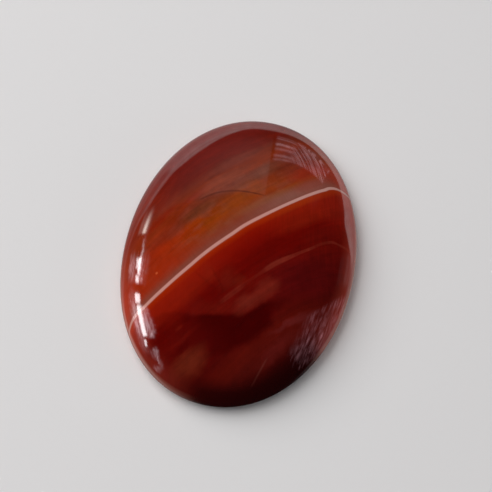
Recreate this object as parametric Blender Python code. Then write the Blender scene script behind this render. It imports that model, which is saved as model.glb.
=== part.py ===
# Banded agate cabochon: one solid, polished, low domed oval stone with a flat ground back.
# Metres, +Z up. The origin is at the middle of the flat back and the long axis lies along +Y.

from math import cos, pi, radians, sin

import bmesh
import bpy

# Driving dimensions
LENGTH = 0.040               # long axis of the oval
WIDTH = 0.030                # short axis of the oval
HEIGHT = 0.007               # flat back to the top of the dome
GIRDLE_HEIGHT = 0.0016       # height of the widest line above the back
BACK_BEVEL = 0.0012          # how far the ground lower edge runs in from the widest line

# Fullness of the curves: 2 is a true ellipse, and more is squarer
OUTLINE_POWER = 2.05
DOME_SIDE_POWER = 2.5
DOME_TOP_POWER = 2.0
BEVEL_POWER = 1.35

# Facets
SEGMENTS = 96                # round the oval
DOME_RINGS = 20              # from the widest line to the last ring under the apex
BEVEL_RINGS = 5              # from the back's edge to the widest line
BACK_RINGS = 4               # across the flat back

# Polished red chalcedony
AGATE_RED = (0.135, 0.012, 0.006, 1.0)
AGATE_ROUGHNESS = 0.08


def power_of(value, power):
    """Raise a signed number to a power and keep its sign."""
    return abs(value) ** power if value >= 0.0 else -(abs(value) ** power)


def outline(angle):
    """Point of the oval at its widest, and the direction straight out of its edge there."""
    half_width = WIDTH / 2
    half_length = LENGTH / 2
    x = half_width * power_of(cos(angle), 2 / OUTLINE_POWER)
    y = half_length * power_of(sin(angle), 2 / OUTLINE_POWER)
    out_x = power_of(x / half_width, OUTLINE_POWER - 1) / half_width
    out_y = power_of(y / half_length, OUTLINE_POWER - 1) / half_length
    size = (out_x ** 2 + out_y ** 2) ** 0.5
    return x, y, out_x / size, out_y / size


def ring(share, inset, height):
    """One oval line: the outline moved in by an inset, then drawn to a share of its size."""
    points = []
    for i in range(SEGMENTS):
        x, y, out_x, out_y = outline(2 * pi * i / SEGMENTS)
        points.append((share * (x - inset * out_x), share * (y - inset * out_y), height))
    return points


def back_rings():
    """Flat back, from the ring round its middle to its edge."""
    return [ring(i / BACK_RINGS, BACK_BEVEL, 0.0) for i in range(1, BACK_RINGS + 1)]


def bevel_rings():
    """Soft lower edge, from just above the flat back to the widest line."""
    rings = []
    for i in range(1, BEVEL_RINGS + 1):
        turn = radians(90) * i / BEVEL_RINGS
        inset = BACK_BEVEL * (1 - sin(turn) ** (2 / BEVEL_POWER))
        height = GIRDLE_HEIGHT * (1 - max(cos(turn), 0.0) ** (2 / BEVEL_POWER))
        rings.append(ring(1.0, inset, height))
    return rings


def dome_rings():
    """Polished dome, from just above the widest line to the last ring under the apex."""
    rings = []
    for i in range(1, DOME_RINGS + 1):
        turn = radians(90) * i / (DOME_RINGS + 1)
        share = cos(turn) ** (2 / DOME_SIDE_POWER)
        rise = (HEIGHT - GIRDLE_HEIGHT) * sin(turn) ** (2 / DOME_TOP_POWER)
        rings.append(ring(share, 0.0, GIRDLE_HEIGHT + rise))
    return rings


def agate_material():
    """Polished red agate."""
    material = bpy.data.materials.new("polished red agate")
    material.use_nodes = True
    shader = material.node_tree.nodes["Principled BSDF"]
    shader.inputs["Base Color"].default_value = AGATE_RED
    shader.inputs["Roughness"].default_value = AGATE_ROUGHNESS
    shader.inputs["Metallic"].default_value = 0.0
    material.diffuse_color = AGATE_RED
    return material


def make_cabochon():
    """The stone, as one closed skin of oval rings with a point at each pole."""
    mesh = bmesh.new()
    rings = [[mesh.verts.new(point) for point in points]
             for points in back_rings() + bevel_rings() + dome_rings()]
    for lower, upper in zip(rings, rings[1:]):
        for i in range(SEGMENTS):
            j = (i + 1) % SEGMENTS
            mesh.faces.new((lower[i], lower[j], upper[j], upper[i]))
    middle = mesh.verts.new((0.0, 0.0, 0.0))
    apex = mesh.verts.new((0.0, 0.0, HEIGHT))
    for i in range(SEGMENTS):
        j = (i + 1) % SEGMENTS
        mesh.faces.new((rings[0][j], rings[0][i], middle))
        mesh.faces.new((rings[-1][i], rings[-1][j], apex))
    data = bpy.data.meshes.new("cabochon")
    mesh.to_mesh(data)
    mesh.free()
    data.shade_smooth()
    data.set_sharp_from_angle(angle=radians(30))
    data.materials.append(agate_material())
    stone = bpy.data.objects.new("cabochon", data)
    bpy.context.scene.collection.objects.link(stone)
    return stone


for old in list(bpy.data.objects):
    bpy.data.objects.remove(old, do_unlink=True)

make_cabochon()
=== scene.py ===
from math import cos, pi, radians, sin

import bpy
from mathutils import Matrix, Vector


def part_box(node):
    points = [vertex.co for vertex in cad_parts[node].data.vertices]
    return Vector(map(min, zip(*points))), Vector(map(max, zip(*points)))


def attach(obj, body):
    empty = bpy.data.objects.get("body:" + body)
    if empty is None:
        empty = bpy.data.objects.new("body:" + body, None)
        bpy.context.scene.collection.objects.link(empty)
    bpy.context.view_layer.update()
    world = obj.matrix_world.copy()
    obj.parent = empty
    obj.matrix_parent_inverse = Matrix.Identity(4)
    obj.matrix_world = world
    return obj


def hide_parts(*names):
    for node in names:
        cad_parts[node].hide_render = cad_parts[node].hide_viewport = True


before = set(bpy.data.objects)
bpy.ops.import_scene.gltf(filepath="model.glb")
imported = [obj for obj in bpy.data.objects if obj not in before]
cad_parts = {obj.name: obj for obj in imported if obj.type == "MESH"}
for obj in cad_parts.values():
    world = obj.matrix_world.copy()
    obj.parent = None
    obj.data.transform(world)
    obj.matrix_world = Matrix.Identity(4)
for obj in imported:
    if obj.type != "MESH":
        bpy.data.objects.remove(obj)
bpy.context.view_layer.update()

# The stone's shape
# One slab of banded agate, sawn across its bands, ground on a wheel to a calibrated oval and
# domed by hand. The lower edge is bevelled so that it doesn't chip, and the back is lapped flat.
MM = 0.001
low_corner, high_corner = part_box("cabochon")
stone_width = high_corner[0] - low_corner[0]
stone_length = high_corner[1] - low_corner[1]
stone_height = high_corner[2] - low_corner[2]
girdle_height = 1.6 * MM
back_bevel = 1.2 * MM
outline_power = 2.05
dome_side_power = 2.5
dome_top_power = 2.0
bevel_power = 1.35
wheel_waves = 0.014 * MM          # how far the hand polish leaves the dome below the true curve
wheel_wave_size = 7.0 * MM
steps_round = 384
dome_steps = 110
bevel_steps = 26
back_steps = 12
join_distance = 0.001 * MM


class Amount:
    """A number worked out by nodes, so that a formula reads as a formula."""

    def __init__(self, tree, socket):
        self.tree = tree
        self.socket = socket

    def do(self, operation, *others):
        node = self.tree.nodes.new("ShaderNodeMath")
        node.operation = operation
        for place, value in enumerate((self, *others)):
            if isinstance(value, Amount):
                self.tree.links.new(value.socket, node.inputs[place])
            else:
                node.inputs[place].default_value = value
        return Amount(self.tree, node.outputs[0])

    def __add__(self, other):
        return self.do("ADD", other)

    def __sub__(self, other):
        return self.do("SUBTRACT", other)

    def __mul__(self, other):
        return self.do("MULTIPLY", other)

    def __truediv__(self, other):
        return self.do("DIVIDE", other)

    def __pow__(self, other):
        return self.do("POWER", other)

    def less_from(self, whole):
        return self.do("MULTIPLY_ADD", -1.0, whole)


def put(tree, kind, feeds, **settings):
    """Add a node with its settings, and feed each input a plain value or another node's output."""
    node = tree.nodes.new(kind)
    for setting, value in settings.items():
        setattr(node, setting, value)
    for key, value in feeds.items():
        if isinstance(value, Amount):
            value = value.socket
        if isinstance(value, bpy.types.NodeSocket):
            tree.links.new(value, node.inputs[key])
        else:
            node.inputs[key].default_value = value
    return node


def signed_power(number, power):
    """Raise an amount to a power and keep its sign."""
    return number.do("ABSOLUTE") ** power * number.do("SIGN")


def shape_inputs(tree, names):
    """Named number inputs of a geometry tree, as amounts."""
    for name in names:
        tree.interface.new_socket(name=name, in_out="INPUT", socket_type="NodeSocketFloat")
    entry = tree.nodes.new("NodeGroupInput")
    return [Amount(tree, entry.outputs[name]) for name in names]


def oval_point_tree():
    """A point of the stone: once round the oval, moved in from its edge, drawn in and lifted."""
    tree = bpy.data.node_groups.new("point of the oval", "GeometryNodeTree")
    names = ("Width", "Length", "Outline power", "Turn", "Inset", "Share", "Height")
    width, length, power, turn, inset, share, height = shape_inputs(tree, names)
    tree.interface.new_socket(name="Point", in_out="OUTPUT", socket_type="NodeSocketVector")
    half_width = width * 0.5
    half_length = length * 0.5
    round_power = power.do("DIVIDE", 2.0) ** -1.0
    x = half_width * signed_power(turn.do("COSINE"), round_power)
    y = half_length * signed_power(turn.do("SINE"), round_power)
    out_x = signed_power(x / half_width, power - 1.0) / half_width
    out_y = signed_power(y / half_length, power - 1.0) / half_length
    out_size = (out_x * out_x + out_y * out_y).do("SQRT")
    point = put(tree, "ShaderNodeCombineXYZ", {
        "X": (x - inset * out_x / out_size) * share,
        "Y": (y - inset * out_y / out_size) * share,
        "Z": height})
    put(tree, "NodeGroupOutput", {"Point": point.outputs[0]})
    return tree


def cabochon_tree(material):
    """The whole skin: flat back, bevelled edge and dome, each a sheet of rings, joined and closed."""
    tree = bpy.data.node_groups.new("cabochon", "GeometryNodeTree")
    tree.interface.new_socket(name="Stone", in_out="OUTPUT", socket_type="NodeSocketGeometry")
    names = ("Width", "Length", "Height", "Girdle height", "Back bevel", "Outline power",
             "Dome side power", "Dome top power", "Bevel power", "Wheel waves", "Wheel wave size")
    amounts = dict(zip(names, shape_inputs(tree, names)))
    girdle = amounts["Girdle height"]
    bevel = amounts["Back bevel"]
    oval_point = oval_point_tree()

    def sheet(rings, profile):
        """A flat grid rolled round the oval. Across it runs the turn, and up it the profile."""
        grid = put(tree, "GeometryNodeMeshGrid", {
            "Size X": 1.0, "Size Y": 1.0, "Vertices X": steps_round + 1, "Vertices Y": rings + 1})
        grid_place = tree.nodes.new("GeometryNodeInputPosition").outputs[0]
        spot = put(tree, "ShaderNodeSeparateXYZ", {0: grid_place})
        round_share = Amount(tree, spot.outputs["X"]) + 0.5
        rise_share = Amount(tree, spot.outputs["Y"]) + 0.5
        inset, share, height = profile(rise_share)
        feeds = {name: amounts[name] for name in ("Width", "Length", "Outline power")}
        feeds.update({"Turn": round_share * (2 * pi), "Inset": inset, "Share": share, "Height": height})
        point = put(tree, "GeometryNodeGroup", feeds, node_tree=oval_point)
        placed = put(tree, "GeometryNodeSetPosition", {
            "Geometry": grid.outputs["Mesh"], "Position": point.outputs["Point"]})
        return placed.outputs[0]

    def back_profile(rise):
        return bevel, rise, 0.0

    def bevel_profile(rise):
        quarter = rise * (pi / 2)
        power = amounts["Bevel power"].do("DIVIDE", 2.0) ** -1.0
        inset = bevel * (quarter.do("SINE") ** power).less_from(1.0)
        height = girdle * (quarter.do("COSINE").do("MAXIMUM", 0.0) ** power).less_from(1.0)
        return inset, 1.0, height

    def dome_profile(rise):
        quarter = rise * (pi / 2)
        side_power = amounts["Dome side power"].do("DIVIDE", 2.0) ** -1.0
        top_power = amounts["Dome top power"].do("DIVIDE", 2.0) ** -1.0
        share = quarter.do("COSINE").do("MAXIMUM", 0.0) ** side_power
        height = girdle + (amounts["Height"] - girdle) * quarter.do("SINE") ** top_power
        return 0.0, share, height

    skin = tree.nodes.new("GeometryNodeJoinGeometry")
    for rings, profile in ((dome_steps, dome_profile), (bevel_steps, bevel_profile),
                           (back_steps, back_profile)):
        tree.links.new(sheet(rings, profile), skin.inputs[0])
    closed = put(tree, "GeometryNodeMergeByDistance", {
        "Geometry": skin.outputs[0], "Distance": join_distance})

    place = tree.nodes.new("GeometryNodeInputPosition").outputs[0]
    height_above_back = put(tree, "ShaderNodeSeparateXYZ", {0: place}).outputs["Z"]
    polished = put(tree, "ShaderNodeMapRange", {
        "Value": height_above_back, "From Min": 0.0, "From Max": girdle},
        interpolation_type="SMOOTHSTEP")
    waves = put(tree, "ShaderNodeTexNoise", {
        "Vector": place, "Scale": amounts["Wheel wave size"] ** -1.0, "Detail": 1.0})
    depth = Amount(tree, waves.outputs[0]) * amounts["Wheel waves"]
    depth = depth * Amount(tree, polished.outputs[0]) * -1.0
    inward = put(tree, "ShaderNodeVectorMath", {
        0: tree.nodes.new("GeometryNodeInputNormal").outputs[0], "Scale": depth}, operation="SCALE")
    worked = put(tree, "GeometryNodeSetPosition", {
        "Geometry": closed.outputs[0], "Offset": inward.outputs[0]})
    smooth = put(tree, "GeometryNodeSetShadeSmooth", {"Geometry": worked.outputs[0]})
    real = put(tree, "GeometryNodeRealizeInstances", {0: smooth.outputs[0]})
    dressed = put(tree, "GeometryNodeSetMaterial", {"Geometry": real.outputs[0], "Material": material})
    put(tree, "NodeGroupOutput", {"Stone": dressed.outputs[0]})
    return tree


def grow_mesh(name, tree, sizes, material):
    """Run a geometry tree with its sizes set, and keep the result as a plain mesh object."""
    seed = bpy.data.objects.new(name + " seed", bpy.data.meshes.new(name + " seed"))
    bpy.context.scene.collection.objects.link(seed)
    modifier = seed.modifiers.new("shape", "NODES")
    modifier.node_group = tree
    for item in tree.interface.items_tree:
        if item.in_out == "INPUT":
            modifier[item.identifier] = sizes[item.name]
    evaluated = seed.evaluated_get(bpy.context.evaluated_depsgraph_get())
    mesh = bpy.data.meshes.new_from_object(evaluated)
    seed.modifiers.remove(modifier)
    bpy.data.objects.remove(seed, do_unlink=True)
    mesh.name = name
    mesh.materials.clear()
    mesh.materials.append(material)
    made = bpy.data.objects.new(name, mesh)
    bpy.context.scene.collection.objects.link(made)
    return made


# The stone's colour
# The bands are layers of chalcedony stained by iron, so they are a colour that runs through the
# stone: one thin white layer, orange to brown ones on one side of it and deep red on the other.
band_bearing = radians(46.9)      # which way the white layer crosses the oval, from +X
band_dip = 0.75                   # how far the layers slide sideways for each mm of depth
band_bow = (                      # place along the white layer, and how far it bows out there, in mm
    (-18.0, 2.65), (-16.2, 2.43), (-14.1, 1.76), (-12.5, 1.49), (-10.4, 1.31), (-8.2, 1.28),
    (-4.0, 1.49), (-2.0, 1.57), (0.0, 1.62), (2.0, 1.71), (4.0, 1.63), (6.0, 1.55), (8.0, 1.53),
    (10.0, 1.58), (13.7, 1.95), (15.0, 2.19), (15.9, 2.0), (18.0, 1.6))


def display(red, green, blue):
    """A colour as a screen shows it, turned into the light that a shader works with."""
    parts = []
    for level in (red, green, blue):
        level /= 255
        parts.append(level / 12.92 if level <= 0.04045 else ((level + 0.055) / 1.055) ** 2.4)
    return (*parts, 1.0)


band_colours = (                  # mm from the white layer, minus towards the red side
    (-18.0, display(30, 3, 4)),
    (-16.0, display(38, 3, 3)),
    (-14.9, display(64, 6, 4)),
    (-13.8, display(88, 16, 10)),
    (-12.2, display(92, 15, 7)),
    (-10.6, display(86, 9, 5)),
    (-8.6, display(96, 10, 6)),
    (-6.6, display(102, 11, 5)),
    (-5.0, display(98, 5, 1)),
    (-3.6, display(105, 6, 1)),
    (-2.2, display(123, 11, 2)),
    (-1.1, display(135, 17, 2)),
    (-0.5, display(149, 34, 4)),
    (-0.3, display(156, 52, 18)),
    (0.35, display(132, 66, 53)),
    (1.1, display(136, 59, 40)),
    (1.8, display(137, 56, 26)),
    (3.0, display(145, 53, 9)),
    (4.2, display(137, 50, 8)),
    (5.2, display(117, 46, 18)),
    (6.0, display(116, 44, 24)),
    (7.2, display(124, 40, 5)),
    (8.4, display(117, 36, 6)),
    (9.3, display(108, 33, 14)),
    (10.2, display(104, 20, 4)),
    (12.0, display(104, 19, 8)),
    (15.0, display(108, 26, 20)),
)
dark_top = (                      # along the layer, and the distance at which the darkest red starts
    (-18.0, -0.5), (-12.0, -3.1), (-10.5, -4.5), (-9.0, -5.8), (-7.0, -7.3), (-5.0, -8.7),
    (-4.0, -9.15), (-2.0, -9.35), (0.0, -9.9), (3.0, -10.6), (6.0, -11.0))
dark_bottom = (
    (-18.0, -10.3), (-14.0, -10.6), (-10.0, -10.8), (-8.5, -11.2), (-7.0, -11.7), (-5.0, -12.1),
    (-3.0, -11.9), (-1.5, -11.1), (0.0, -10.8), (3.0, -10.9), (6.0, -11.2))
fracture = (                      # along the layer, and its distance: one old healed crack
    (-1.0, 6.75), (0.0, 6.6), (1.0, 6.32), (2.0, 5.93), (3.0, 5.42), (4.0, 4.78), (5.0, 3.95),
    (6.0, 2.95), (6.8, 2.1))
second_line = (                   # along the layer, and the distance of a second, fainter white line
    (-8.0, -6.15), (-4.0, -6.35), (0.0, -6.3), (7.0, -6.3), (9.0, -6.15), (10.0, -6.2),
    (11.0, -6.65), (12.5, -7.4))
second_line_strength = (
    (-8.0, 0.0), (-6.5, 0.08), (-5.2, 0.42), (-3.2, 0.4), (-2.2, 0.15), (0.3, 0.25), (1.4, 0.7),
    (3.5, 0.72), (5.5, 0.5), (7.4, 0.6), (8.2, 0.3), (9.6, 0.35), (10.8, 0.55), (12.5, 0.5))
second_line_width = ((-8.0, 0.16), (-4.0, 0.34), (-1.0, 0.2), (2.0, 0.34), (7.0, 0.17), (12.5, 0.2))
painted_edge_glow = (                     # degrees round the oval from +X, and how much painted glow the thin edge gets there
    (-180.0, 0.08), (-167.0, 0.2), (-157.0, 0.38), (-147.0, 0.42), (-138.0, 0.6), (-127.0, 0.42),
    (-117.0, 0.26), (-107.0, 0.18), (-97.0, 0.08), (-89.0, 0.0), (-48.0, 0.0), (-38.0, 0.24),
    (-27.0, 0.42), (-17.0, 0.55), (-7.0, 0.58), (13.0, 0.66), (33.0, 0.72), (43.0, 0.85),
    (53.0, 0.72), (63.0, 0.5), (73.0, 0.28), (83.0, 0.1), (103.0, 0.1), (123.0, 0.12),
    (143.0, 0.08), (160.0, 0.02), (180.0, 0.08))
painted_edge_shade = (                    # the same, for how dark the painted shade makes the edge there
    (-180.0, 0.0), (-108.0, 0.0), (-101.0, 0.15), (-95.0, 0.5), (-87.0, 0.9), (-70.0, 0.95),
    (-56.0, 0.93), (-49.0, 0.7), (-41.0, 0.25), (-32.0, 0.0), (180.0, 0.0))
dark_cracks = (
    # along the layer, lean, where it starts and ends away from the layer, strength
    (-4.85, 0.12, -5.3, -2.4, 0.3),
    (-6.2, -0.25, -4.6, -1.2, 0.18),
    (-7.9, -0.1, -5.6, -3.4, 0.2),
)
fine_layers = (
    # length, thickness, seed, detail, strength
    (5.0, 0.16, 40.0, 3.0, 0.28),
    (9.0, 0.6, 47.0, 2.0, 0.4),
    (0.8, 0.6, 71.0, 2.0, 0.3),
    (2.6, 1.6, 77.0, 1.0, 0.35),
)
silk_width = 0.22                 # silk and fibres are crystals that stand across the layers, in mm
silk_length = 2.4
fibre_width = 0.19
fibre_length = 1.3
dome_roughness = 0.05
back_roughness = 0.37
agate_ior = 1.54
clouds = (
    # along, distance, half length, half width, turn, strength, colour
    (4.6, -9.2, 4.6, 2.6, -12.0, 0.75, display(83, 8, 9)),
    (-13.5, -9.2, 2.3, 1.15, 0.0, 0.95, display(108, 34, 18)),
    (-12.9, -6.75, 2.3, 0.28, 0.0, 0.5, display(104, 14, 6)),
    (-13.2, -7.5, 1.2, 0.5, 0.0, 0.7, display(76, 2, 1)),
    (-3.4, -8.3, 1.9, 0.8, -5.0, 0.8, display(120, 36, 24)),
    (-0.5, -8.3, 1.6, 0.9, 8.0, 0.75, display(121, 34, 22)),
    (-1.9, -6.95, 0.7, 0.3, 0.0, 0.5, display(100, 12, 3)),
    (-3.8, -4.5, 1.5, 1.1, 20.0, 0.55, display(112, 24, 13)),
    (-5.3, -2.4, 0.8, 1.3, -10.0, 0.5, display(134, 27, 11)),
    (-9.0, -5.0, 1.6, 0.9, -38.0, 0.5, display(108, 18, 10)),
    (-6.8, -6.8, 1.6, 0.7, -36.0, 0.45, display(104, 18, 8)),
    (-3.6, -13.9, 2.8, 0.5, 4.0, 0.6, display(103, 26, 22)),
    (0.0, -12.6, 2.8, 0.3, 0.0, 0.7, display(104, 32, 30)),
    (8.2, 3.6, 2.6, 1.0, 0.0, 0.4, display(144, 60, 26)),
    (-2.0, 5.6, 2.6, 0.7, -2.0, 0.7, display(106, 49, 26)),
    (6.2, 4.0, 1.0, 1.1, 0.0, 0.7, display(134, 53, 2)),
    (3.2, 3.4, 3.2, 1.2, 0.0, 0.6, display(143, 62, 14)),
    (-6.5, 8.4, 2.6, 0.6, 0.0, 0.6, display(124, 22, 3)),
    (-1.0, 7.6, 2.4, 0.6, -3.0, 0.6, display(126, 24, 1)),
    (6.0, 9.2, 3.0, 0.7, 0.0, 0.6, display(116, 46, 32)),
    (13.3, 5.2, 2.8, 2.4, 0.0, 0.55, display(118, 25, 16)),
    (3.0, 7.3, 4.2, 0.8, 0.0, 0.35, display(146, 72, 52)),
    (-4.8, 7.0, 2.4, 0.7, 0.0, 0.35, display(112, 27, 5)),
    (6.0, 1.8, 4.5, 0.5, 0.0, 0.35, display(136, 88, 64)),
    (-12.3, -4.0, 1.5, 1.1, 0.0, 0.45, display(118, 14, 2)),
    (-2.8, -5.6, 1.0, 0.6, 0.0, 0.45, display(114, 28, 14)),
    (9.4, -5.0, 2.2, 0.9, 0.0, 0.35, display(114, 20, 11)),
    (12.8, 3.1, 2.2, 0.9, 0.0, 0.7, display(146, 38, 14)),
    (12.6, 1.2, 2.4, 0.8, 0.0, 0.4, display(146, 50, 34)),
    (15.7, 2.4, 1.6, 1.5, 0.0, 0.65, display(152, 44, 32)),
    (10.3, 4.6, 2.2, 1.0, 0.0, 0.4, display(95, 32, 18)),
    (-6.6, 5.6, 2.0, 0.9, 0.0, 0.35, display(108, 28, 4)),
    (-10.6, 2.4, 0.16, 0.16, 0.0, 0.9, display(196, 84, 46)),
    (-12.2, -5.4, 0.5, 0.2, 0.0, 0.45, display(116, 24, 13)),
)


def rises(amount, start, end):
    """0 up to start, 1 past end, and a smooth step between them."""
    step = put(amount.tree, "ShaderNodeMapRange", {
        "Value": amount, "From Min": start, "From Max": end}, interpolation_type="SMOOTHSTEP")
    return Amount(amount.tree, step.outputs[0])


def between(amount, low, high, softness):
    """1 from low to high and 0 outside, with soft ends."""
    over = rises(amount, low - softness, low + softness)
    return over * rises(amount, high - softness, high + softness).less_from(1.0)


def bent(amount, points, low, high):
    """A curve through points. The results lie from low to high."""
    start = points[0][0]
    end = points[-1][0]
    node = put(amount.tree, "ShaderNodeFloatCurve", {"Value": (amount - start) / (end - start)})
    curve = node.mapping.curves[0]
    places = [((reach - start) / (end - start), (level - low) / (high - low))
              for reach, level in points]
    curve.points[0].location = places[0]
    curve.points[1].location = places[-1]
    for place in places[1:-1]:
        curve.points.new(*place)
    for point in curve.points:
        point.handle_type = "AUTO_CLAMPED"
    node.mapping.update()
    return Amount(amount.tree, node.outputs[0]) * (high - low) + low


def noise_at(across, up, deep, detail):
    """Cloudy noise, from 0 to 1, at a place given by three amounts."""
    place = put(across.tree, "ShaderNodeCombineXYZ", {"X": across, "Y": up, "Z": deep})
    noise = put(across.tree, "ShaderNodeTexNoise", {
        "Vector": place.outputs[0], "Scale": 1.0, "Detail": detail})
    return Amount(across.tree, noise.outputs[0])


class Spot:
    """A place in the stone: along the white layer, away from it, and down, in mm."""

    def __init__(self, along, away, down):
        self.along = along
        self.away = away
        self.down = down

    def grain(self, long, wide, seed, detail=2.0):
        """Cloudy grain from 0 to 1, with its size along the layers and across them."""
        return noise_at(self.along / long + seed, self.away / wide, self.down / long, detail)

    def near(self, along, away, half_long, half_wide, turn):
        """1 in the middle of a soft oval patch, and 0 outside it."""
        side = self.along - along
        rise = self.away - away
        long_way = (side * cos(radians(turn)) + rise * sin(radians(turn))) / half_long
        wide_way = (rise * cos(radians(turn)) - side * sin(radians(turn))) / half_wide
        out = (long_way * long_way + wide_way * wide_way).do("SQRT")
        return rises(out, 0.3, 1.6).less_from(1.0)


def tint(colour, mask, other):
    """Mix another colour in where the mask says."""
    mixed = put(mask.tree, "ShaderNodeMix", {0: mask, 6: colour, 7: other}, data_type="RGBA")
    return mixed.outputs[2]


def agate_material():
    """Banded agate, polished on the dome and lapped on the back."""
    material = bpy.data.materials.new("banded agate")
    material.use_nodes = True
    tree = material.node_tree
    shader = tree.nodes["Principled BSDF"]
    place = put(tree, "ShaderNodeTexCoord", {}).outputs["Object"]
    in_mm = put(tree, "ShaderNodeVectorMath", {0: place, "Scale": 1 / MM}, operation="SCALE").outputs[0]
    parts = put(tree, "ShaderNodeSeparateXYZ", {0: in_mm})
    x = Amount(tree, parts.outputs["X"])
    y = Amount(tree, parts.outputs["Y"])
    z = Amount(tree, parts.outputs["Z"])
    down = z.less_from(stone_height / MM)
    along = x * cos(band_bearing) + y * sin(band_bearing)
    across = x * -sin(band_bearing) + y * cos(band_bearing)
    away = across - bent(along, band_bow, 0.0, 3.0) + down * band_dip

    true_spot = Spot(along, away, down)
    wander = rises(away.do("ABSOLUTE"), 0.4, 4.0)
    swell = (true_spot.grain(6.0, 4.0, 3.0, 1.0) - 0.5) * wander * 1.5
    ragged_along = along + (true_spot.grain(1.9, 1.5, 9.0, 2.0) - 0.5) * 1.5
    ragged_away = away + (true_spot.grain(1.7, 1.1, 15.0, 2.0) - 0.5) * wander
    ragged = Spot(ragged_along, ragged_away, down)

    ramp = put(tree, "ShaderNodeValToRGB", {})
    lowest = band_colours[0][0]
    reach = band_colours[-1][0] - lowest
    stops = ramp.color_ramp.elements
    stops[0].color = band_colours[0][1]
    stops[1].color = band_colours[-1][1]
    for level, colour in band_colours[1:-1]:
        stops.new((level - lowest) / reach).color = colour
    layer = away + swell
    tree.links.new(((layer - lowest) / reach).socket, ramp.inputs[0])
    colour = ramp.outputs["Color"]

    # Slow change from the left end of the layers, redder, to the right end, greyer
    left = rises(along * -1.0, 0.0, 9.5)
    right = rises(along, 2.0, 9.0)
    far_right = rises(along, 10.0, 14.0)
    left_layers = left * rises(layer, 0.3, 1.8) * rises(layer, 8.0, 4.6) * 0.8
    colour = tint(colour, left_layers, display(157, 36, 8))
    colour = tint(colour, left * rises(layer, 4.0, 8.0) * 0.5, display(140, 45, 24))
    colour = tint(colour, left * between(layer, -3.4, -0.5, 0.8) * 0.4, display(150, 32, 10))
    colour = tint(colour, right * between(layer, -3.5, -0.5, 0.6) * 0.35, display(148, 38, 16))
    mauve = right * between(layer, 0.1, 1.6, 0.6) * (rises(along, 12.0, 16.0) * -0.5 + 0.8)
    colour = tint(colour, mauve, display(138, 88, 77))
    colour = tint(colour, right * between(layer, -0.9, -0.2, 0.4) * 0.5, display(158, 60, 22))
    colour = tint(colour, between(layer, -0.9, -0.2, 0.3) * 0.35, display(165, 36, 0))
    colour = tint(colour, right * between(layer, 2.2, 4.6, 0.6) * 0.6, display(134, 50, 27))
    colour = tint(colour, right * between(layer, 5.0, 6.6, 0.7) * 0.7, display(116, 58, 40))
    colour = tint(colour, far_right * between(layer, -9.0, -0.6, 1.0) * 0.6, display(134, 26, 14))

    mottle = rises(true_spot.grain(2.4, 1.1, 83.0, 2.0), 0.42, 0.72) * between(layer, 0.2, 7.0, 0.6)
    colour = tint(colour, mottle * (left * -0.2 + 0.32), display(133, 76, 60))
    ochre = rises(true_spot.grain(2.6, 1.2, 91.0, 2.0), 0.44, 0.7) * between(layer, 1.6, 5.0, 0.8)
    colour = tint(colour, ochre * 0.4 * left.less_from(1.0), display(146, 66, 14))

    # The darkest red, the clouds and the healed cracks
    under_top = ragged_away * 0.25 + away * 0.75 - bent(along, dark_top, -14.0, 0.0)
    in_dark = rises(under_top, 0.35, -0.5)
    in_dark = in_dark * rises(ragged_away - bent(along, dark_bottom, -14.0, 0.0), -0.5, 0.6)
    in_dark = in_dark * (rises(along, -14.5, -7.0) * 0.72 + 0.24) * rises(along, 2.5, -2.5)
    colour = tint(colour, in_dark, display(63, 0, 0))
    for middle_along, middle_away, half_long, half_wide, turn, strength, cloud_colour in clouds:
        spot = ragged if half_wide > 0.25 else true_spot
        mask = spot.near(middle_along, middle_away, half_long, half_wide, turn) * strength
        colour = tint(colour, mask, cloud_colour)

    off_line = (away - bent(along, second_line, -8.0, -6.0)).do("ABSOLUTE")
    line_width = bent(along, second_line_width, 0.0, 1.0)
    mask = rises(off_line / line_width, 1.3, 0.5) * bent(along, second_line_strength, 0.0, 1.0)
    mask = mask * (true_spot.grain(1.1, 0.5, 31.0) * 0.7 + 0.6)
    colour = tint(colour, mask * between(along, -7.6, 12.3, 0.3), display(128, 41, 29))

    off_crack = (away - bent(along, fracture, 0.0, 8.0)).do("ABSOLUTE")
    mask = rises(off_crack, 0.24, 0.06) * between(along, -0.6, 6.3, 0.5)
    colour = tint(colour, mask * 0.65, display(84, 24, 3))
    for crack_along, lean, start, end, strength in dark_cracks:
        middle = (start + end) / 2
        off_crack = (along - (away - middle) * lean - crack_along).do("ABSOLUTE")
        mask = rises(off_crack, 0.26, 0.02) * between(away, start, end, 0.8) * strength
        colour = tint(colour, mask, display(78, 8, 2))

    # One short faint line near the dark end, in place across the stone
    off_crack = ((x - 5.6) * 0.955 - (y + 16.7) * 0.297).do("ABSOLUTE")
    mask = rises(off_crack, 0.16, 0.04) * between(y, -17.2, -13.6, 0.5) * 0.14
    colour = tint(colour, mask, display(150, 84, 74))

    # Fine layers a few tenths of a millimetre thick, and silk across them on the red side
    fine = along * 0.0
    for long, wide, seed, detail, strength in fine_layers:
        fine = fine + (true_spot.grain(long, wide, seed, detail) - 0.5) * strength
    silk_across = away * 0.55 - along * 0.83
    silk = noise_at(silk_across / silk_width, away / silk_length, down / silk_length, 2.0) - 0.5
    silk = silk * rises(away, -0.2, -1.2) * (far_right * 0.2 + right * 0.3 + 0.15)
    fibres = noise_at(along / fibre_width, away / fibre_length, down / fibre_length, 2.0) - 0.5
    fibres = fibres * between(away, 0.35, 7.0, 0.3) * 0.22
    shade = fine * wander.do("MAXIMUM", 0.25) + silk + fibres + 1.0
    shaded = put(tree, "ShaderNodeVectorMath", {0: colour, "Scale": shade}, operation="SCALE")
    colour = shaded.outputs[0]

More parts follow.
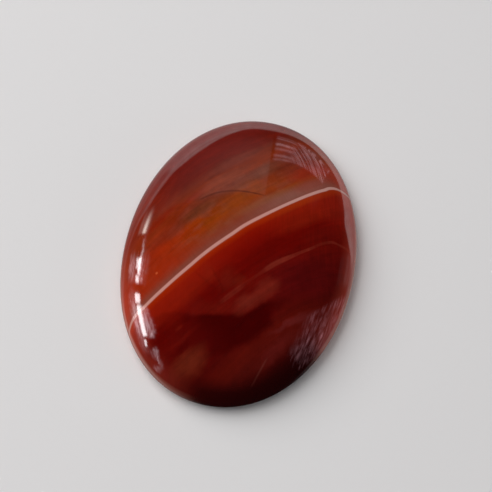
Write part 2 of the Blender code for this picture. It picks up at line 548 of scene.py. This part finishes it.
    # The thin white layer
    off_white = away.do("ABSOLUTE") * (right * 0.25 + 1.0)
    white = rises(off_white, 0.31, 0.12) * (true_spot.grain(0.9, 0.5, 60.0) * 0.35 + 0.82)
    colour = tint(colour, white, display(202, 142, 131))
    colour = tint(colour, white * right, display(199, 147, 138))

    # Painted light: the thin edge lets light through and glows, and that glow is painted into its
    # colour
    turn = y.do("ARCTAN2", x) * (180 / pi)
    edge = rises(z, 4.8, 2.8)
    painted_glow = edge * bent(turn, painted_edge_glow, 0.0, 1.0) * rises(white, 0.8, 0.0)
    colour = tint(colour, painted_glow, display(197, 77, 59))
    # A paler painted glow low on the edge, near the girdle
    painted_bright_glow = (painted_glow * rises(z, 2.9, 2.1)) ** 0.5 * 0.8
    colour = tint(colour, painted_bright_glow, display(214, 150, 132))
    # Painted shade: the edge is painted nearly black on the side where the light does not reach
    painted_shade = rises(z, 5.0, 3.5) * bent(turn, painted_edge_shade, 0.0, 1.0)
    colour = tint(colour, painted_shade, display(38, 2, 2))
    tree.links.new(colour, shader.inputs["Base Color"])
    # The dome is polished and the flat back is only lapped
    roughness = rises(z, 0.5, 0.1) * (back_roughness - dome_roughness) + dome_roughness
    tree.links.new(roughness.socket, shader.inputs["Roughness"])
    shader.inputs["IOR"].default_value = agate_ior
    return material


agate = agate_material()
sizes = {"Width": stone_width, "Length": stone_length, "Height": stone_height,
         "Girdle height": girdle_height, "Back bevel": back_bevel, "Outline power": outline_power,
         "Dome side power": dome_side_power, "Dome top power": dome_top_power,
         "Bevel power": bevel_power, "Wheel waves": wheel_waves, "Wheel wave size": wheel_wave_size}
stone = grow_mesh("banded_cabochon", cabochon_tree(agate), sizes, agate)
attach(stone, "root")
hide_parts("cabochon")

# The table
# A plain pale sheet under the stone, matt, wide enough to fill every view.
table_size = 3.0
table_colour = (0.80, 0.785, 0.785, 1.0)
table_roughness = 0.9
table_shine = 0.1

table_mesh = bpy.data.meshes.new("table")
half = table_size / 2
corners = [(-half, -half, 0.0), (half, -half, 0.0), (half, half, 0.0), (-half, half, 0.0)]
table_mesh.from_pydata(corners, [], [(0, 1, 2, 3)])
table = bpy.data.objects.new("table", table_mesh)
bpy.context.scene.collection.objects.link(table)
paper = bpy.data.materials.new("matt paper")
paper.use_nodes = True
paper_shader = paper.node_tree.nodes["Principled BSDF"]
paper_shader.inputs["Base Color"].default_value = table_colour
paper_shader.inputs["Roughness"].default_value = table_roughness
paper_shader.inputs["Specular IOR Level"].default_value = table_shine
table_mesh.materials.append(paper)
table.visible_glossy = False

# The studio
# Three soft lamps light the stone and the table. What shows in the polish is a dark room with a
# window low on the left, a dim wall over it, two patches of fine strands on the right and the pale
# surroundings of the table. Azimuths run from +Y towards +X, and all directions are in degrees.
lamp_distance = 0.6
dark_room = 0.01
room_light = (0.05, 0.05, 0.052, 1.0)
backdrop = (0.62, 0.61, 0.61, 1.0)


def bearing(azimuth, elevation):
    """Direction of a compass bearing from +Y towards +X and a height above the table, in degrees."""
    turn = radians(azimuth)
    rise = radians(elevation)
    return Vector((sin(turn) * cos(rise), cos(turn) * cos(rise), sin(rise)))


def soft_lamp(name, azimuth, elevation, size, strength):
    """A square lamp that lights surfaces and leaves no reflection of its own."""
    light = bpy.data.lights.new(name, "AREA")
    light.size = size
    light.energy = strength * pi * size ** 2
    lamp = bpy.data.objects.new(name, light)
    bpy.context.scene.collection.objects.link(lamp)
    lamp.location = bearing(azimuth, elevation) * lamp_distance
    lamp.rotation_mode = "QUATERNION"
    lamp.rotation_quaternion = (-bearing(azimuth, elevation)).to_track_quat("-Z", "Y")
    lamp.visible_camera = False
    lamp.visible_glossy = False


soft_lamp("window side lamp", -70.0, 50.0, 0.62, 2.8)
soft_lamp("overhead lamp", 180.0, 85.0, 0.60, 0.94)
soft_lamp("low fill lamp", 100.0, 13.0, 0.30, 0.9)

world = bpy.data.worlds.new("studio")
world.use_nodes = True
room = world.node_tree
ray_way = put(room, "ShaderNodeTexCoord", {}).outputs["Generated"]
ray_parts = put(room, "ShaderNodeSeparateXYZ", {0: ray_way})
way_x, way_y, way_z = (Amount(room, ray_parts.outputs[axis]) for axis in "XYZ")
round_way = way_x.do("ARCTAN2", way_y) * (180 / pi)
up_way = way_z.do("ARCSINE") * (180 / pi)
no_light = round_way * 0.0


def streaks(across, along, wide, long, seed, low, high):
    """Uneven streaks, from 0 to 1, with their usual width and length in degrees."""
    return rises(noise_at(across / wide, along / long, seed, 2.0), low, high)


def add_glow(total, strength, colour):
    """Add a coloured glow to what the polish sees."""
    light = put(room, "ShaderNodeVectorMath", {0: colour, "Scale": strength}, operation="SCALE")
    both = put(room, "ShaderNodeVectorMath", {0: total, 1: light.outputs[0]}, operation="ADD")
    return both.outputs[0]


# The pale surroundings of the table, which show all round the rim
pale_edge = (                     # azimuth, and how high the pale surroundings reach there
    (-180.0, -48.0), (-150.0, -40.0), (-130.0, -30.0), (-115.0, -28.0), (-100.0, -34.0),
    (-88.0, -24.0), (-80.0, -18.0), (-74.0, -12.0), (-70.0, -5.0), (-66.5, 1.0), (-63.0, 7.5),
    (-58.0, 12.0), (-52.0, 14.5), (-47.0, 15.0), (-43.0, 17.5), (-36.0, 18.0), (-28.0, 15.6),
    (-20.0, 10.8), (-12.0, 6.0), (-4.0, 5.4), (4.0, 1.5), (14.0, -3.0), (24.0, -4.5), (32.0, -5.0),
    (38.0, -1.0), (44.0, 4.5), (48.0, 8.5), (51.0, 11.0), (54.0, 8.5), (58.0, 3.0), (61.0, -5.0),
    (64.0, -13.0), (70.0, -20.0), (80.0, -26.0), (100.0, -36.0), (120.0, -52.0), (150.0, -62.0),
    (180.0, -52.0))
pale_softness = (
    (-180.0, 12.0), (-80.0, 8.0), (-66.0, 2.2), (-50.0, 1.6), (-20.0, 1.7), (0.0, 2.6),
    (20.0, 1.6), (55.0, 1.8), (62.0, 4.0), (70.0, 8.0), (180.0, 14.0))
pale_brightness = (
    (-180.0, 0.12), (-150.0, 0.30), (-130.0, 0.62), (-105.0, 0.75), (-85.0, 0.42), (-74.0, 0.36),
    (-66.0, 0.55), (-58.0, 0.8), (-48.0, 0.95), (-40.0, 1.2), (-30.0, 1.12), (-20.0, 1.08),
    (-10.0, 0.98), (2.0, 0.92), (12.0, 1.0), (30.0, 0.98), (42.0, 1.05), (50.0, 1.3), (57.0, 1.4),
    (62.0, 1.0), (66.0, 0.55), (74.0, 0.42), (90.0, 0.3), (104.0, 0.2), (116.0, 0.06),
    (135.0, 0.05), (180.0, 0.08))
seen = add_glow((0.0, 0.0, 0.0), dark_room, (1.0, 1.0, 1.1))
under_edge = bent(round_way, pale_edge, -90.0, 30.0) - up_way
over_edge = under_edge * -1.0 / bent(round_way, pale_softness, 0.0, 20.0)
pale = rises(over_edge, -1.0, 1.0).less_from(1.0)
pale = pale * bent(round_way, pale_brightness, 0.0, 1.5)
pale = pale * (rises(under_edge, 0.0, 34.0) * -0.6 + 1.0)
pale = pale * (streaks(round_way, up_way, 2.6, 26.0, 1.0, 0.2, 0.8) * 0.22 + 0.82)
pale = pale * (streaks(up_way, round_way, 2.6, 60.0, 22.0, 0.3, 0.7) * 0.3 + 0.89)
shaded_strip = between(under_edge, 6.0, 20.0, 2.5) * between(round_way, -80.0, -49.0, 2.0)
pale = pale * (shaded_strip * -0.55 + 1.0)
dark_side = rises(round_way, 30.0, 60.0) * 0.6 + rises(round_way, 100.0, 128.0) * 0.4
dark_side = dark_side + rises(round_way, -158.0, -172.0) + 0.2
pale = pale * (rises(up_way, -26.0, -60.0) * dark_side * -0.8 + 1.0)
seen = add_glow(seen, pale, (1.0, 0.92, 0.92))

# The window, low on the left, and the soft light round its panes
window_panes = (
    # azimuth from and to, elevation from and to, softness, slope, brightness
    (-110.9, -95.1, 22.7, 30.6, 1.0, 0.12, 19.0),
    (-94.0, -89.9, 21.2, 30.4, 0.8, 0.0, 17.0),
    (-85.5, -82.9, 21.6, 27.6, 0.8, 0.0, 17.0),
    (-82.2, -75.7, 25.4, 29.0, 0.7, 0.0, 18.0),
    (-80.3, -76.8, 20.4, 27.0, 0.7, 0.0, 13.0),
    (-76.8, -71.0, 26.6, 28.6, 0.9, 0.0, 4.0),
    (-116.9, -112.9, 17.0, 22.6, 0.7, 0.9, 12.5),
)
hair_bend = (                     # azimuth, and how far the hair-fine lines sink there
    (-180.0, -22.0), (-140.0, -22.0), (-131.0, -14.0), (-122.0, -3.0), (-119.0, -2.0),
    (-116.0, -9.0), (-112.0, -6.5), (-106.0, -0.7), (-103.0, 0.0), (-100.0, -0.7), (-95.0, -5.0),
    (-90.0, -7.0), (-85.0, -4.0), (-80.0, -1.0), (-75.0, 0.0), (180.0, 0.0))
window_glows = (
    # the same columns, for the soft light round the panes
    (-75.0, -69.0, 25.0, 28.0, 1.0, 0.0, 2.0),
    (-84.6, -77.4, 4.0, 20.0, 3.0, 0.0, 3.0),
    (-84.6, -75.6, 28.4, 33.0, 1.4, 0.0, 4.2),
    (-84.0, -73.0, 31.0, 37.0, 2.5, 0.0, 1.2),
    (-112.0, -95.2, 30.0, 40.0, 1.6, 0.0, 4.0),
    (-109.4, -100.2, 41.6, 45.0, 1.2, 0.0, 3.8),
    (-112.8, -108.4, 35.6, 41.0, 1.4, 0.6, 1.4),
    (-111.0, -91.0, 7.0, 22.0, 5.0, 0.0, 2.8),
    (-111.0, -95.6, 13.0, 22.0, 3.0, 0.0, 3.0),
    (-118.0, -112.0, 2.0, 18.0, 5.0, 0.0, 1.8),
    (-131.0, -119.8, 25.0, 32.4, 1.6, 0.8, 2.7),
    (-135.0, -130.0, 18.0, 25.0, 2.0, 0.5, 1.4),
    (-126.0, -121.0, 17.0, 27.0, 2.5, 0.0, 1.2),
    (-134.5, -130.5, -4.0, 14.0, 2.5, -0.8, 2.0),
)


def window_light(panes, ragged):
    """The panes together, each a box of directions that slopes by its slant and has ragged ends."""
    total = no_light
    for left, right, low, high, softness, slant, brightness in panes:
        level = up_way - (round_way - (left + right) / 2) * slant + ragged
        inside = between(round_way, left, right, softness) * between(level, low, high, softness * 2.0)
        total = total + inside * brightness
    return total


def hump(amount, middle, reach):
    """1 at the middle, and down to 0 at a reach from it."""
    return rises((amount - middle).do("ABSOLUTE"), reach, 0.0)


ends = streaks(round_way, up_way, 1.5, 40.0, 5.0, 0.3, 0.7) - 0.5
hair_way = up_way - bent(round_way, hair_bend, -22.0, 0.0)
hairs = streaks(hair_way, round_way, 2.0, 9.0, 5.0, 0.38, 0.62) * 1.25 + 0.3
seen = add_glow(seen, window_light(window_panes, ends * 1.8), (1.0, 0.98, 1.0))
seen = add_glow(seen, window_light(window_glows, ends * 5.0) * hairs, (1.0, 0.82, 0.88))
wedge = rises(round_way - (up_way - 20.0) * 0.14, -69.1, -68.3)
wedge = wedge * rises(round_way, -57.6, -68.0) ** 2.0
wedge = wedge * (hump(up_way, 20.6, 5.2) * 9.5 + between(up_way, 9.0, 27.0, 2.5) * 1.1)
seen = add_glow(seen, wedge, (1.0, 0.93, 0.84))

# The dim wall over the window. It ends at a corner
haze_top = (
    (-90.0, 0.0), (-68.0, 18.0), (-60.0, 32.0), (-50.0, 43.0), (-40.0, 50.5), (-30.0, 54.5),
    (-20.0, 56.5), (0.0, 57.5))
haze_body = rises(round_way, -66.0, -5.0) * 0.20 + 0.06
haze_shade = rises(up_way, 14.0, 42.0) * 0.85 + 0.15
under_top = bent(round_way, haze_top, 0.0, 60.0) - up_way
before_corner = rises(round_way, -2.8, -1.8).less_from(1.0)
haze = rises(under_top, -0.8, 1.6) * haze_body * haze_shade * before_corner
haze = haze * (streaks(up_way, round_way, 7.0, 40.0, 8.0, 0.2, 0.8) * 0.35 + 0.8)
outer_haze = rises(under_top, -6.0, -2.5) * rises(round_way, -72.0, -55.0)
outer_haze = outer_haze * before_corner * rises(up_way, 16.0, 34.0) * 0.05
seen = add_glow(seen, haze + outer_haze, (1.0, 0.97, 1.0))

# Fine strands far up on the right: level slats that break into leaning ones
fan_slats = (
    # height of a slat at azimuth 0, half its thickness, brightness
    (39.9, 1.3, 0.75),
    (37.0, 1.6, 0.85),
    (31.2, 2.2, 0.75),
    (26.3, 2.6, 1.2),
    (18.2, 2.0, 0.6),
    (14.9, 1.5, 0.4),
)
slat_way = up_way + round_way * 0.36
fan_left = no_light
for slat_height, half_slat, slat_brightness in fan_slats:
    fan_left = fan_left + hump(slat_way, slat_height, half_slat) * slat_brightness
fan_left = fan_left * (streaks(round_way, up_way, 2.0, 6.0, 17.0, 0.3, 0.7) * 0.8 + 1.1) + 0.16
feather_way = round_way - (up_way - 11.0).do("MAXIMUM", 0.0) * 0.75
fan_right = streaks(feather_way, up_way, 1.4, 34.0, 14.0, 0.42, 0.58) * 1.6
fan_gaps = streaks(up_way - round_way * 0.5, round_way, 3.4, 12.0, 52.0, 0.34, 0.6)
fan_right = fan_right * (fan_gaps * 0.7 + 0.5) + 0.12
fan_split = rises(round_way, 6.5, 10.5)
fan = fan_left * fan_split.less_from(1.0) + fan_right * fan_split
fan_top = rises((up_way + round_way * 0.42).less_from(0.0), -41.5, -39.8)
fan_bottom = rises(up_way + round_way * 0.35, 10.0, 17.0)
fan = fan * fan_top * between(round_way, -0.8, 28.8, 0.7) * fan_bottom
fan = fan + between(round_way, -1.5, 31.0, 1.5) * between(up_way, 0.0, 46.0, 5.0) * 0.06
seen = add_glow(seen, fan * 1.1, (1.0, 0.66, 0.74))

# Fine bent strands low on the right, with a few brighter spots
blind_across = (round_way - 95.0) / 20.0
blind_up = (up_way - 20.0) / 35.0
strand_bend = blind_up * 1.1 + blind_across * 0.9 - 4.5
strand_way = blind_up * (blind_up * (blind_up * -2.0 - 7.2) - 13.3)
strand_way = strand_way + blind_across * (blind_up * 2.4 - 9.5)
strand_way = strand_way + blind_across * blind_across * strand_bend
strand_length = blind_across * (blind_up * 8.0 + blind_across * 5.3 - 40.0)
strand_length = strand_length - blind_up * blind_up * 6.1
past_middle = (round_way - 93.0).do("MAXIMUM", 0.0)
row_way = up_way + past_middle * past_middle * 0.07
strands = streaks(strand_way, strand_length, 1.15, 13.0, 61.0, 0.42, 0.58) * 0.85 + 0.08
rows = streaks(row_way, round_way, 4.4, 8.0, 72.0, 0.36, 0.58) + 0.35
high_part = rises(up_way, -2.0, 12.0)
blind = strands * (high_part * rows + high_part.less_from(1.0))
blind = blind * rises(hump(row_way, 27.4, 2.2), 0.9, 0.1)
blind_spots = (
    # azimuth, elevation, half width, half height, brightness
    (97.2, 31.8, 3.2, 3.4, 1.1),
    (112.6, 35.6, 1.7, 3.6, 0.9),
    (93.4, 7.4, 2.3, 6.5, 2.6),
    (88.6, 18.6, 1.7, 3.4, 0.9),
    (91.8, 17.2, 1.9, 3.6, 0.8),
    (97.0, 21.8, 2.0, 3.2, 0.5),
    (103.6, 15.6, 1.6, 4.0, 0.5),
    (103.0, 41.0, 2.2, 2.4, 0.4),
)
for spot_azimuth, spot_elevation, half_wide, half_high, brightness in blind_spots:
    tilted = round_way + (up_way - spot_elevation) * 0.28
    spot_light = hump(tilted, spot_azimuth, half_wide) * hump(up_way, spot_elevation, half_high)
    blind = blind + spot_light * brightness
off_level = up_way - 17.0
far_ends = streaks(strand_way, strand_length, 1.3, 40.0, 83.0, 0.35, 0.65)
far_side = round_way + (off_level * off_level * 0.006 + far_ends * 7.0 - 3.6)
blind = blind * rises(round_way - up_way * 0.11, 75.0, 78.0) * rises(far_side, 113.4, 110.8)
blind = blind * rises(up_way + (round_way - 96.0) * 0.1, 54.0, 40.0)
blind = blind * (rises(up_way, -48.0, -8.0) * 0.8 + 0.2)
blind = blind * (rises(up_way, 2.0, -12.0) * rises(round_way, 97.0, 107.0) * -0.6 + 1.0)
seen = add_glow(seen, blind * 1.2, (1.0, 0.46, 0.54))

# A faint patch between the two
far_patch = between(up_way, -14.0, 4.0, 4.0) * 0.3 + between(up_way, 0.0, 22.0, 1.5) * 0.07
far_patch = far_patch * between(round_way, 62.0, 71.5, 2.0)
seen = add_glow(seen, far_patch * (hairs * 0.6 + 0.4), (1.0, 0.84, 0.87))

# The camera sees the backdrop, the polish sees the picture above and the rest gets a little light
ray = put(room, "ShaderNodeLightPath", {})
ambient = put(room, "ShaderNodeMix", {
    0: ray.outputs["Is Camera Ray"], 6: room_light, 7: backdrop}, data_type="RGBA")
studio = put(room, "ShaderNodeMix", {
    0: ray.outputs["Is Glossy Ray"], 6: ambient.outputs[2], 7: seen}, data_type="RGBA")
room.links.new(studio.outputs[2], room.nodes["Background"].inputs["Color"])
world.cycles.sampling_method = "NONE"
bpy.context.scene.world = world
bpy.context.scene.view_settings.view_transform = "Standard"

# The camera
# Near and almost overhead, turned so that the oval leans as it does in the photograph.
camera_azimuth = radians(12.94)
camera_elevation = radians(68.0)
camera_distance = 176.6 * MM
camera_aim = Vector((0.567, 1.436, 3.0)) * MM
camera_lens = 100.0
camera_sensor = 36.0

camera_data = bpy.data.cameras.new("camera")
camera_data.lens = camera_lens
camera_data.sensor_width = camera_sensor
camera_data.clip_start = 0.01
camera_data.clip_end = 10.0
camera = bpy.data.objects.new("camera", camera_data)
bpy.context.scene.collection.objects.link(camera)
toward_camera = Vector((
    sin(camera_azimuth) * cos(camera_elevation),
    -cos(camera_azimuth) * cos(camera_elevation),
    sin(camera_elevation)))
camera.location = camera_aim + toward_camera * camera_distance
camera.rotation_mode = "QUATERNION"
camera.rotation_quaternion = (-toward_camera).to_track_quat("-Z", "Y")
bpy.context.scene.camera = camera
